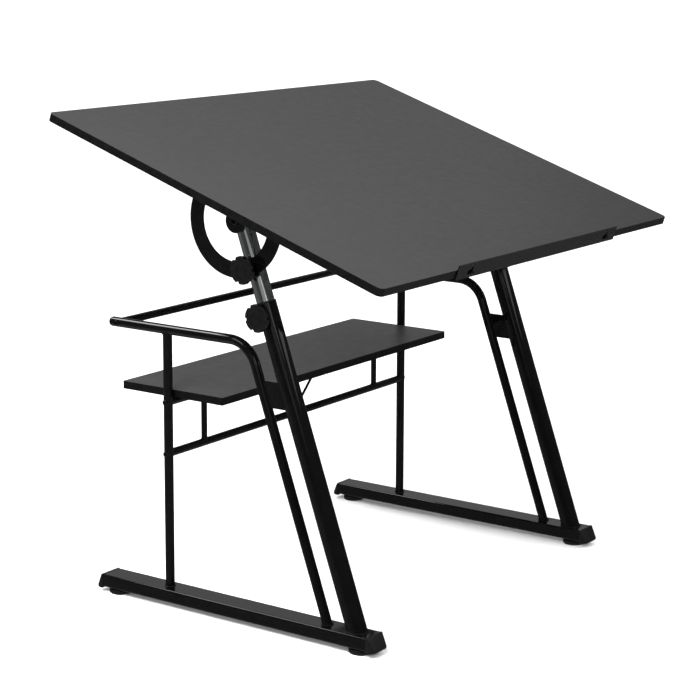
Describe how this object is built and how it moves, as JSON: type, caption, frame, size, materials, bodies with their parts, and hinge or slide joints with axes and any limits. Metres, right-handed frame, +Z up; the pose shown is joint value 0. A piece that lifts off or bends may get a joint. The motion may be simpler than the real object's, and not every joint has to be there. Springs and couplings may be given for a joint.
{
  "type": "drafting table",
  "caption": "Drafting table with a tilting rectangular top on telescoping leaning legs, tubular side frames, a rear shelf, clamp knobs and a pencil ledge.",
  "frame": {"origin": "on the floor, under the centre of the whole table's outline", "axes": "+X to the right of the person at the table, +Y away from them, +Z up"},
  "size_m": [1.0668, 0.7607, 0.9564],
  "materials": {
    "black_paint": "glossy black enamel on steel tube and plate",
    "black_plastic": "satin moulded black plastic",
    "zinc_steel": "zinc plated steel fasteners",
    "black_steel": "blackened steel fasteners",
    "chrome": "bright chrome plated tube",
    "grey_laminate": "particle board faced with dark grey laminate of a faint fine grain",
    "edge_band": "black plastic edge band"
  },
  "bodies": {
    "frame": {"foot_left": "black_paint", "foot_right": "black_paint", "foot_cap_front_left": "black_plastic", "foot_cap_front_right": "black_plastic", "foot_cap_rear_left": "black_plastic", "foot_cap_rear_right": "black_plastic", "leveler_nuts": "zinc_steel", "outer_leg_left": "black_paint", "outer_leg_right": "black_paint", "clamp_bosses": "black_paint", "leg_bushes": "black_plastic", "side_rail_left": "black_paint", "side_rail_right": "black_paint", "rail_end_plugs": "black_plastic", "post_left": "black_paint", "post_right": "black_paint", "gusset_left": "black_paint", "gusset_right": "black_paint", "rear_crossbar": "black_paint", "crossbar_bolts": "black_steel", "shelf_frame_bolts": "black_steel", "shelf_upper_rail": "black_paint", "shelf_lower_rail": "black_paint", "shelf_stub_left": "black_paint", "shelf_stub_right": "black_paint", "shelf_brace_left": "black_paint", "shelf_brace_right": "black_paint", "shelf_board": "grey_laminate", "shelf_edge_band": "edge_band", "shelf_screws": "zinc_steel", "shelf_end_screws": "black_steel"},
    "lift": {"inner_leg_left": "chrome", "inner_leg_right": "chrome", "inner_leg_caps": "black_plastic", "inner_leg_guides": "black_plastic", "tilt_clamp_left": "black_paint", "tilt_clamp_right": "black_paint", "pivot_bolts": "black_steel", "pivot_nuts": "zinc_steel", "pivot_spacers": "black_steel"},
    "top": {"tilt_bracket_left": "black_paint", "tilt_bracket_right": "black_paint", "bracket_screws": "zinc_steel", "tabletop_board": "grey_laminate", "tabletop_edge_band": "edge_band", "ledge_screws": "black_steel"},
    "ledge": {"pencil_ledge": "black_paint"},
    "height_knob_left": {"height_knob_left": "black_plastic", "height_stud_left": "zinc_steel"},
    "tilt_knob_left": {"tilt_knob_left": "black_plastic", "tilt_stud_left": "zinc_steel"},
    "height_knob_right": {"height_knob_right": "black_plastic", "height_stud_right": "zinc_steel"},
    "tilt_knob_right": {"tilt_knob_right": "black_plastic", "tilt_stud_right": "zinc_steel"},
    "leveler_front_left": {"leveler_front_left": "black_plastic"},
    "leveler_front_right": {"leveler_front_right": "black_plastic"},
    "leveler_rear_left": {"leveler_rear_left": "black_plastic"},
    "leveler_rear_right": {"leveler_rear_right": "black_plastic"}
  },
  "joints": [
    {"name": "height_slide", "type": "slide", "parent": "frame", "child": "lift", "axis": [0, 0.3338, 0.9426], "range_m": [-0.036, 0.22]},
    {"name": "top_tilt", "type": "hinge", "parent": "lift", "child": "top", "pos_m": [0, 0.02484, 0.77087], "axis": [1, 0, 0], "range_deg": [-18.6, 26.4]},
    {"name": "ledge_slide", "type": "slide", "parent": "top", "child": "ledge", "axis": [0, -0.319, 0.9478], "range_m": [-0.01, 0]},
    {"name": "height_knob_turn_left", "type": "hinge", "parent": "frame", "child": "height_knob_left", "pos_m": [-0.43, -0.03558, 0.60026], "axis": [-1, 0, 0], "range_deg": [0, 720]},
    {"name": "tilt_knob_turn_left", "type": "hinge", "parent": "lift", "child": "tilt_knob_left", "pos_m": [-0.435, -0.0052, 0.68604], "axis": [-1, 0, 0], "range_deg": [0, 720]},
    {"name": "height_knob_turn_right", "type": "hinge", "parent": "frame", "child": "height_knob_right", "pos_m": [0.43, -0.03558, 0.60026], "axis": [1, 0, 0], "range_deg": [0, 720]},
    {"name": "tilt_knob_turn_right", "type": "hinge", "parent": "lift", "child": "tilt_knob_right", "pos_m": [0.435, -0.0052, 0.68604], "axis": [1, 0, 0], "range_deg": [0, 720]},
    {"name": "leveler_turn_front_left", "type": "hinge", "parent": "frame", "child": "leveler_front_left", "pos_m": [-0.399, -0.24286, 0.005], "axis": [0, 0, 1], "continuous": true},
    {"name": "leveler_turn_front_right", "type": "hinge", "parent": "frame", "child": "leveler_front_right", "pos_m": [0.399, -0.24286, 0.005], "axis": [0, 0, 1], "continuous": true},
    {"name": "leveler_turn_rear_left", "type": "hinge", "parent": "frame", "child": "leveler_rear_left", "pos_m": [-0.399, 0.33514, 0.005], "axis": [0, 0, 1], "continuous": true},
    {"name": "leveler_turn_rear_right", "type": "hinge", "parent": "frame", "child": "leveler_rear_right", "pos_m": [0.399, 0.33514, 0.005], "axis": [0, 0, 1], "continuous": true}
  ]
}
